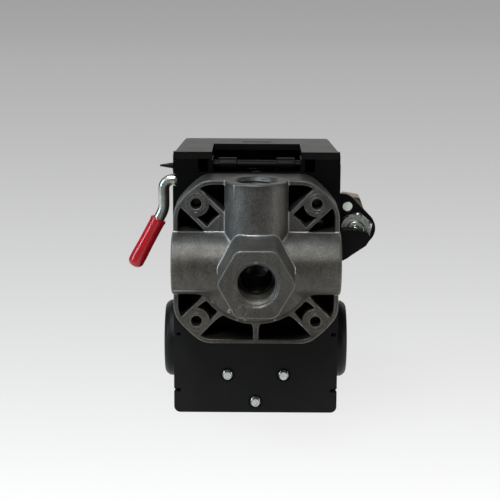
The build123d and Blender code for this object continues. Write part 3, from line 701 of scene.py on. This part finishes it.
def flange_pattern(x, z):
    """Flat patterns of the flange's walls (rim, ribs, bosses, hub, tubes, lower rib) and its outline.

    The last number of each smooth_min and smooth_max is the width of its fillet.
    """
    r = np.sqrt(x * x + z * z)
    ax, az = np.abs(x), np.abs(z)
    along = (ax + az) / sqrt(2)
    across = np.abs(ax - az) / sqrt(2)
    rectangle = smooth_max(ax - FLANGE_HALF_WIDTH, az - FLANGE_HALF_HEIGHT, 1.0)
    outline = smooth_max(rectangle, r - FLANGE_CORNER, 1.5)
    rib_line = np.abs(across - BOSS_RADIUS + RIB_WIDTH / 2)
    ribs = np.maximum(rib_line - RIB_WIDTH / 2, HUB_RADIUS - 1 - along)
    corner = np.maximum(across - BOSS_RADIUS, HOLE_PLACE * sqrt(2) - along)
    walls = smooth_min(ribs, np.minimum(corner, hole_distance(x, z) - BOSS_RADIUS), 0.3)
    walls = smooth_min(walls, -outline - RIM_WALL, 0.5)
    walls = smooth_min(walls, r - HUB_RADIUS, 0.45)
    walls = smooth_min(walls, np.minimum(az - TUBE_RADIUS, np.maximum(ax - TUBE_RADIUS, -z)), 0.35)
    walls = smooth_min(walls, np.maximum(ax - LOWER_RIB_HALF, z - LOWER_RIB_TOP), 0.4)
    return walls, outline


def flange_field(x, y, z):
    """The flange, with a raised pad and a groove round each corner hole."""
    depth = y - RIM
    walls, outline = flange_pattern(x, z)
    walls = walls - np.clip(depth, 0, FLANGE_DEPTH) * WALL_DRAFT
    pad_radius, pad_rise, pad_slope = 3.7, 0.14, 0.25
    groove_radius, groove_depth, groove_half = 2.75, 0.2, 0.22
    ring = hole_distance(x, z)
    pad = pad_rise * np.clip((pad_radius - ring) / pad_slope, 0, 1)
    groove = groove_depth * np.clip(1 - np.abs(ring - groove_radius) / groove_half, 0, 1)
    front = groove - pad - depth
    return smooth_max(np.maximum(walls, outline), np.maximum(front, y - FLANGE_BACK), 0.45)


def tube_fields(x, y, z):
    """The level tube through both side ports, and the tube of the top port."""
    depth = y - RIM
    cross = smooth_max(np.sqrt(depth * depth + z * z) - TUBE_RADIUS, np.abs(x) - TUBE_HALF_LENGTH, 0.7)
    top = smooth_max(np.sqrt(x * x + depth * depth) - TUBE_RADIUS, np.maximum(z - TOP_END, -z), 0.7)
    return cross, top


def dome_field(x, y, z):
    """Low dome over the lower half of the hub."""
    depth = y - RIM
    r = np.sqrt(x * x + z * z)
    dome = (np.sqrt((r / HUB_RADIUS) ** 2 + (depth / DOME_RISE) ** 2) - 1) * DOME_RISE
    return np.maximum(np.maximum(dome, depth - DOME_END), z)


def hexagon_field(x, y, z):
    """The hexagon round the front port, with the ejector mark sunk in its face."""
    half_flats = HEX_HALF_FLATS + HEX_DRAFT * (y - HEX_FACE) / (RIM - HEX_FACE)
    mark = np.sqrt((x - MARK_PLACE[0]) ** 2 + (z - MARK_PLACE[1]) ** 2)
    face = HEX_FACE + MARK_DEPTH * np.clip(1 - np.abs(mark - MARK_RADIUS) / MARK_HALF_WIDTH, 0, 1)
    sides = hexagon_distance(x, z, half_flats, HEX_CORNER)
    return smooth_max(sides, np.maximum(face - y, y - RIM - HEX_END), 0.55)


def seam_strength(x, y, z):
    """From 0 to 1, how near the surface is to a line where two of the solids meet."""
    web, hexagon = flange_field(x, y, z), hexagon_field(x, y, z)
    cross, top = tube_fields(x, y, z)
    tubes = np.minimum(cross, top)
    gap = np.minimum(np.abs(cross - top) + np.abs(tubes), np.abs(hexagon - tubes) + np.abs(hexagon) * 0.5)
    # the flange's seams are only marked near the rim
    rim_band, far = 0.6, 9.0
    gap = np.minimum(gap, np.abs(web - tubes) + np.where(y - RIM > rim_band, far, np.abs(web)))
    return np.clip(1 - gap / SEAM_WIDTH, 0, 1)


def casting_field(x, y, z):
    """Signed distance, in mm, to the die-cast manifold at the points x, y, z."""
    field = smooth_min(flange_field(x, y, z), smooth_min(*tube_fields(x, y, z), 0.6), 0.6)
    field = smooth_min(field, dome_field(x, y, z), 1.6)
    field = smooth_min(field, hexagon_field(x, y, z), 0.6)

    depth = y - RIM
    r = np.sqrt(x * x + z * z)
    for inward, radius in (
        (y - HEX_FACE, r),
        (TUBE_HALF_LENGTH - x, np.sqrt(depth * depth + z * z)),
        (TUBE_HALF_LENGTH + x, np.sqrt(depth * depth + z * z)),
        (TOP_END - z, np.sqrt(x * x + depth * depth)),
    ):
        cone = (radius - (MOUTH_RADIUS - inward)) * COS_45
        bore = np.where(inward < PORT_DEPTH, radius - LINER_RADIUS, radius - PASSAGE_RADIUS)
        bore = np.maximum(np.where(inward < MOUTH_DEPTH, cone, bore), -inward - MOUTH_LEAD)
        field = np.maximum(field, -np.where(inward < PASSAGE_DEPTH, bore, 1.0))
    field = np.maximum(field, HOLE_RADIUS - hole_distance(x, z))
    for recess_radius, recess_depth in (DIAPHRAGM_SEAT, CHAMBER):
        field = np.maximum(field, -np.maximum(r - recess_radius, FLANGE_BACK - recess_depth - y))
    return field


def surface_of_field(field, low, high, step):
    """Points and quads of the zero surface of field between two corners, by surface nets; all in mm."""
    counts = [int((b - a) / step) + 2 for a, b in zip(low, high)]
    axes = [a + step * np.arange(n) for a, n in zip(low, counts)]
    values = np.empty(counts, dtype=np.float32)
    plane = axes[1][:, None].astype(np.float32), axes[2][None, :].astype(np.float32)
    for i, x in enumerate(axes[0]):
        values[i] = field(np.float32(x), *plane)
    inside = values < 0
    corners = [(i, j, k) for i in (0, 1) for j in (0, 1) for k in (0, 1)]

    def shifted(array, corner):
        """The array's values at one corner of every cell."""
        return array[tuple(slice(shift, count - 1 + shift) for shift, count in zip(corner, counts))]

    filled = sum(shifted(inside, corner).astype(np.int8) for corner in corners)
    active = (filled > 0) & (filled < len(corners))
    index = np.full(active.shape, -1, dtype=np.int64)
    index[active] = np.arange(active.sum())
    cells = np.argwhere(active)

    # a cell's point is the mean of the places where the surface cuts the cell's edges
    total = np.zeros((len(cells), 3))
    crossings = np.zeros(len(cells))
    for start in corners:
        for axis in range(3):
            if start[axis]:
                continue
            end = tuple(1 if i == axis else start[i] for i in range(3))
            first = shifted(values, start)[active]
            second = shifted(values, end)[active]
            cut = (first < 0) != (second < 0)
            part = np.where(cut, first / np.where(cut, first - second, 1), 0)
            point = np.array(start)[None, :] + part[:, None] * (np.array(end) - np.array(start))[None, :]
            total += point * cut[:, None]
            crossings += cut
    points = np.array([axis[0] for axis in axes]) + step * (cells + total / crossings[:, None])

    # each grid edge that the surface cuts gives a quad of the four cells around it
    quads = []
    for axis in range(3):
        u, v = (axis + 1) % 3, (axis + 2) % 3
        near_side = [slice(1, -1)] * 3
        far_side = [slice(1, -1)] * 3
        near_side[axis] = slice(0, counts[axis] - 1)
        far_side[axis] = slice(1, counts[axis])
        near, far = inside[tuple(near_side)], inside[tuple(far_side)]
        cut_edges = np.argwhere(near != far)
        base = cut_edges.copy()
        base[:, u] += 1
        base[:, v] += 1
        quad = []
        for du, dv in ((-1, -1), (0, -1), (0, 0), (-1, 0)):
            cell = base.copy()
            cell[:, u] += du
            cell[:, v] += dv
            quad.append(index[tuple(cell.T)])
        quad = np.stack(quad, axis=1)
        outward = near[tuple(cut_edges.T)]
        quad[~outward] = quad[~outward][:, ::-1]
        quads.append(quad)
    quads = np.concatenate(quads)
    return points, quads[(quads >= 0).all(axis=1)]


def thinned(mesh, triangles):
    """The mesh collapsed to about the given number of triangles."""
    made = bpy.data.objects.new("thinned", mesh)
    scene.collection.objects.link(made)
    made.modifiers.new("thin", "DECIMATE").ratio = min(1.0, triangles / (2 * len(mesh.polygons)))
    graph = bpy.context.evaluated_depsgraph_get()
    graph.update()
    result = bpy.data.meshes.new_from_object(made.evaluated_get(graph))
    bpy.data.objects.remove(made)
    bpy.data.meshes.remove(mesh)
    return result


def field_slope(place):
    """Unit vectors along the steepest rise of the casting's field, which are the surface's normals."""
    probe = 0.12
    slope = np.stack([
        casting_field(*(place + probe * unit).T) - casting_field(*(place - probe * unit).T)
        for unit in np.eye(3)
    ], axis=1)
    length = np.linalg.norm(slope, axis=1, keepdims=True)
    return slope / np.where(length > 0, length, 1)


def manifold_mesh():
    margin = Vector((GRID_MARGIN,) * 3)
    step = GRID_STEP
    points, quads = surface_of_field(casting_field, CASTING_LOW - margin, CASTING_HIGH + margin, step)
    mesh = bpy.data.meshes.new("manifold_raw")
    mesh.from_pydata((points * MM).tolist(), [], quads.tolist())
    mesh.validate()
    mesh = thinned(mesh, CASTING_TRIANGLES)
    mesh.name = "manifold_casting"
    mesh.polygons.foreach_set("use_smooth", [True] * len(mesh.polygons))
    place = np.empty(len(mesh.vertices) * 3, dtype=np.float32)
    mesh.vertices.foreach_get("co", place)
    place = place.reshape(-1, 3).astype(np.float64) / MM
    mesh.normals_split_custom_set_from_vertices(field_slope(place).tolist())
    # marks the fillets where the casting's material paints a highlight
    seam_highlight = mesh.attributes.new(SEAM_HIGHLIGHT_ATTRIBUTE, "FLOAT", "POINT")
    seam_highlight.data.foreach_set("value", seam_strength(*place.T).astype(np.float32))
    return mesh


def add_port_liners(material):
    """Helical threads lining the four ports."""
    pitch = 25.4 / 18
    crest, root, outside, length = 6.12, 6.85, 7.05, 12.9
    mouths = {
        "main": ((0, HEX_FACE, 0), (0, 1, 0)),
        "left": ((CASTING_LOW.x, RIM, 0), (1, 0, 0)),
        "right": ((CASTING_HIGH.x, RIM, 0), (-1, 0, 0)),
        "top": ((0, RIM, TOP_END), (0, 0, -1)),
    }
    for name, (mouth, inward) in mouths.items():
        mesh = threaded("thread_" + name, crest, root, length, pitch, inner=outside,
                        steps=14, segments=96, lead=0.8)
        start = Vector(mouth) + MOUTH_DEPTH * Vector(inward)
        add_object("thread_" + name, placed(mesh, start, inward), material, "housing")


# ---------------------------------------------------------------- the other pieces
def sleeve_mesh():
    """Red vinyl tube over the rod: rounded, slightly swollen tip, and a rolled lip at the top."""
    # the rod's lower run slopes down and outwards
    run_start = Vector((-33.0, 54.5, 14.6))
    run_end = Vector((-43.4, 54.5, -5.0))
    wall, bore, widest, tip_length, cad_radius = 2.72, 2.0, 2.88, 1.4, 2.9
    axis = (run_end - run_start).normalized()
    tip = run_end + tip_length * axis
    top = box_mm("lever_sleeve")[1].z
    length = (top - cad_radius * abs(axis.x) - tip.z) / -axis.z
    tip_flat, tip_radius, tip_steps = 0.7, 2.15, 8
    profile = [(0.0, 0.0)]
    for step in range(1, tip_steps + 1):
        angle = step / tip_steps * pi / 2
        profile.append((tip_flat + tip_radius * sin(angle), tip_radius * (1 - cos(angle))))
    profile += [(widest, 4.5), (2.8, 7.0), (wall, 10.0), (wall, length - 1.6), (2.86, length - 0.9),
                (widest, length - 0.45), (wall, length - 0.12), (2.4, length), (2.04, length - 0.12),
                (2.02, length - 1.5), (bore, tip_length), (0.0, tip_length)]
    return placed(lathe("lever_sleeve", profile, 56), tip, -axis)


def grommet_mesh(name, side):
    """Rubber cable grommet: stepped flange outside the ear, groove over the ear, cable hole through it."""
    low, high = box_mm(name)
    centre = (low + high) / 2
    ear = 29.4                  # the ear's outer face, from the middle of the switch
    face = (high.x if side > 0 else -low.x) - ear
    outside = [(4.5, face - 0.5), (4.8, face - 0.15), (6.3, face - 0.1), (6.9, face - 0.5),
               (11.2, face - 0.5), (11.7, face), (12.4, face), (13.2, face - 0.45), (14.0, face - 1.5),
               (14.2, face - 2.2), (14.2, 0.35), (13.9, 0.0)]
    groove = [(11.0, 0.0), (11.0, -1.5)]
    inside = [(13.2, -1.5), (13.0, -2.6), (12.3, -3.8), (5.2, -3.8), (4.5, -3.3)]
    mesh = lathe(name, outside + groove + inside, 72)
    return placed(mesh, (side * ear, centre.y, centre.z), (side, 0, 0))


def nut_mesh(name, across_flats, height, bore):
    """Hexagon nut about +Z from 0 to height, its corners cut by cones and its bore countersunk."""
    segments, chamfer, countersink = 72, 0.6, 0.35
    flat = across_flats / 2
    face_limit = flat - 0.1
    corner_limit = flat / cos(pi / 6) - 0.12
    angles = [2 * pi * step / segments for step in range(segments)]
    hexagon = [flat / cos(angle % (pi / 3) - pi / 6) for angle in angles]
    bm = bmesh.new()
    rows = []
    for z, limit in ((0.0, face_limit), (chamfer, corner_limit), (height - chamfer, corner_limit),
                     (height, face_limit)):
        rows.append(circle(bm, [min(radius, limit) for radius in hexagon], z))
    for radius, z in ((bore + countersink, height), (bore, height - countersink), (bore, countersink),
                      (bore + countersink, 0.0)):
        rows.append(circle(bm, [radius] * segments, z))
    for first, second in zip(rows, rows[1:] + rows[:1]):
        bridge(bm, first, second)
    return turned_outwards(name, bm, 24)


def block_screw_mesh():
    """Three threaded screws seen end-on in front of the plate, their round heads inside the housing."""
    low = box_mm("block_screws")[0]
    crest, root, pitch = 1.74, 1.42, 0.7
    head_profile = [(0.0, 0.0), (2.3, 0.0), (2.5, 0.3), (2.5, 1.6), (1.9, 2.3), (0.0, 2.4)]
    parts = bmesh.new()
    for x, z, seat in ((-10.1, -44.7, 56.0), (10.1, -44.7, 56.0), (0.0, -54.8, 52.0)):
        rod = threaded("rod", crest, root, seat - low.y, pitch, steps=8, segments=40, lead=1.4)
        head = lathe("head", head_profile, 40)
        # each screw has stopped at its own angle
        parts.from_mesh(placed(rod, (x, low.y, z), (0, 1, 0), turn=0.7 * x))
        parts.from_mesh(placed(head, (x, seat, z), (0, 1, 0)))
    return plain_mesh("block_screws", parts, 40)


def round_mesh(name):
    """Smooth copy of a CAD node made of bent or coiled wire."""
    return plain_mesh(name, welded(name), 40)


def spring_mesh(name, gap):
    """Copy of a coil, shortened from its front end by gap mm so that what moves towards it has room."""
    mesh = round_mesh(name)
    low, high = box_mm(name)
    share = 1 - gap / (high.y - low.y)
    back = high.y * MM
    mesh.transform(Matrix.Translation((0, back * (1 - share), 0)) @ Matrix.Diagonal((1, share, 1, 1)))
    return mesh


# width of the rounded edges of the other CAD nodes, mm
EDGE_WIDTHS = {
    "cover": 0.25, "base_frame": 0.3, "unloader_bracket": 0.25, "unloader_arm": 0.3, "contact_block": 0.3,
    "contact_carrier": 0.25, "main_lever": 0.25, "hinge_pin": 0.25, "piston": 0.3, "frame_screws": 0.3,
    "bracket_rivets": 0.35, "terminal_strips": 0.1, "terminal_screws": 0.2, "clamp_plates": 0.15,
    "contact_bridges": 0.1, "range_stud": 0.3, "differential_stud": 0.25, "differential_washer": 0.15,
    "spring_cup": 0.3, "cover_post": 0.25, "cover_screw": 0.15, "rod_collar": 0.2, "lever_cam": 0.3,
    "spring_stop": 0.15, "ferrule": 0.15, "valve_pin": 0.2, "diaphragm": 0.15,
    "unloader_valve_body": 0.3, "differential_nut": 0.25,
}

# name, how much it is shortened in front (mm), the joint that presses it, that joint's travel (mm),
# and whether its back end is the one that stays
SPRINGS = (
    ("range_spring", 1.1, "range_cup_slide", 3.1, False),
    ("valve_spring", 0.0, "valve_pin_stroke", 1.4, True),
)

# name, width across flats, turn in degrees, radius of the bore, and X and Z of the axis
NUTS = (
    ("range_nut", 10.0, 0, 3.05, (0, 17.0)),
    ("unloader_locknut", 11.0, 18, 3.0, (35.7, 7.1)),
    ("compression_nut", 11.0, -9.5, 3.2, (35.7, 7.1)),
)


def build():
    looks = make_looks()
    node_slot = {}
    for name, cad in nodes.items():
        node_slot[name] = cad.data.materials[0].name.split(".")[0]
        cad.data.materials[0] = looks[node_slot[name]]
    bodies = {name: cad["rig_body"] for name, cad in nodes.items()}

    def put(node_name, mesh):
        """Add a piece that stands for a CAD node, with the node's body and finish."""
        slot = node_slot[node_name]
        # the frame screws get the darker copy of zinc_screw, which is painted shade
        look = looks["shaded_screw"] if node_name == "frame_screws" else looks[slot]
        return add_object(node_name + "_finish", mesh, look, bodies[node_name], [node_name])

    add_object("manifold_casting", manifold_mesh(), looks["die_cast"], "housing", ["manifold"])
    add_port_liners(looks["die_cast"])
    for name, width in EDGE_WIDTHS.items():
        put(name, refined(name, width))
    put("lever_sleeve", sleeve_mesh())
    put("auto_off_rod", round_mesh("auto_off_rod"))
    put("block_screws", block_screw_mesh())
    put("cable_grommet_left", grommet_mesh("cable_grommet_left", -1))
    put("cable_grommet_right", grommet_mesh("cable_grommet_right", 1))
    for name, gap, joint, travel, from_back in SPRINGS:
        low, high = box_mm(name)
        coil = put(name, spring_mesh(name, gap))
        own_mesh(coil)
    put("differential_spring", round_mesh("differential_spring"))
    for name, across_flats, turn, bore, (x, z) in NUTS:
        low, high = box_mm(name)
        put(name, faced(nut_mesh(name, across_flats, high.y - low.y, bore), (x, low.y, z), turn))


add_camera()
add_world()
build()
add_stage(cad_box[0][2])
for light in LIGHTS:
    add_area_light(*light)
scene.view_settings.view_transform = "Standard"
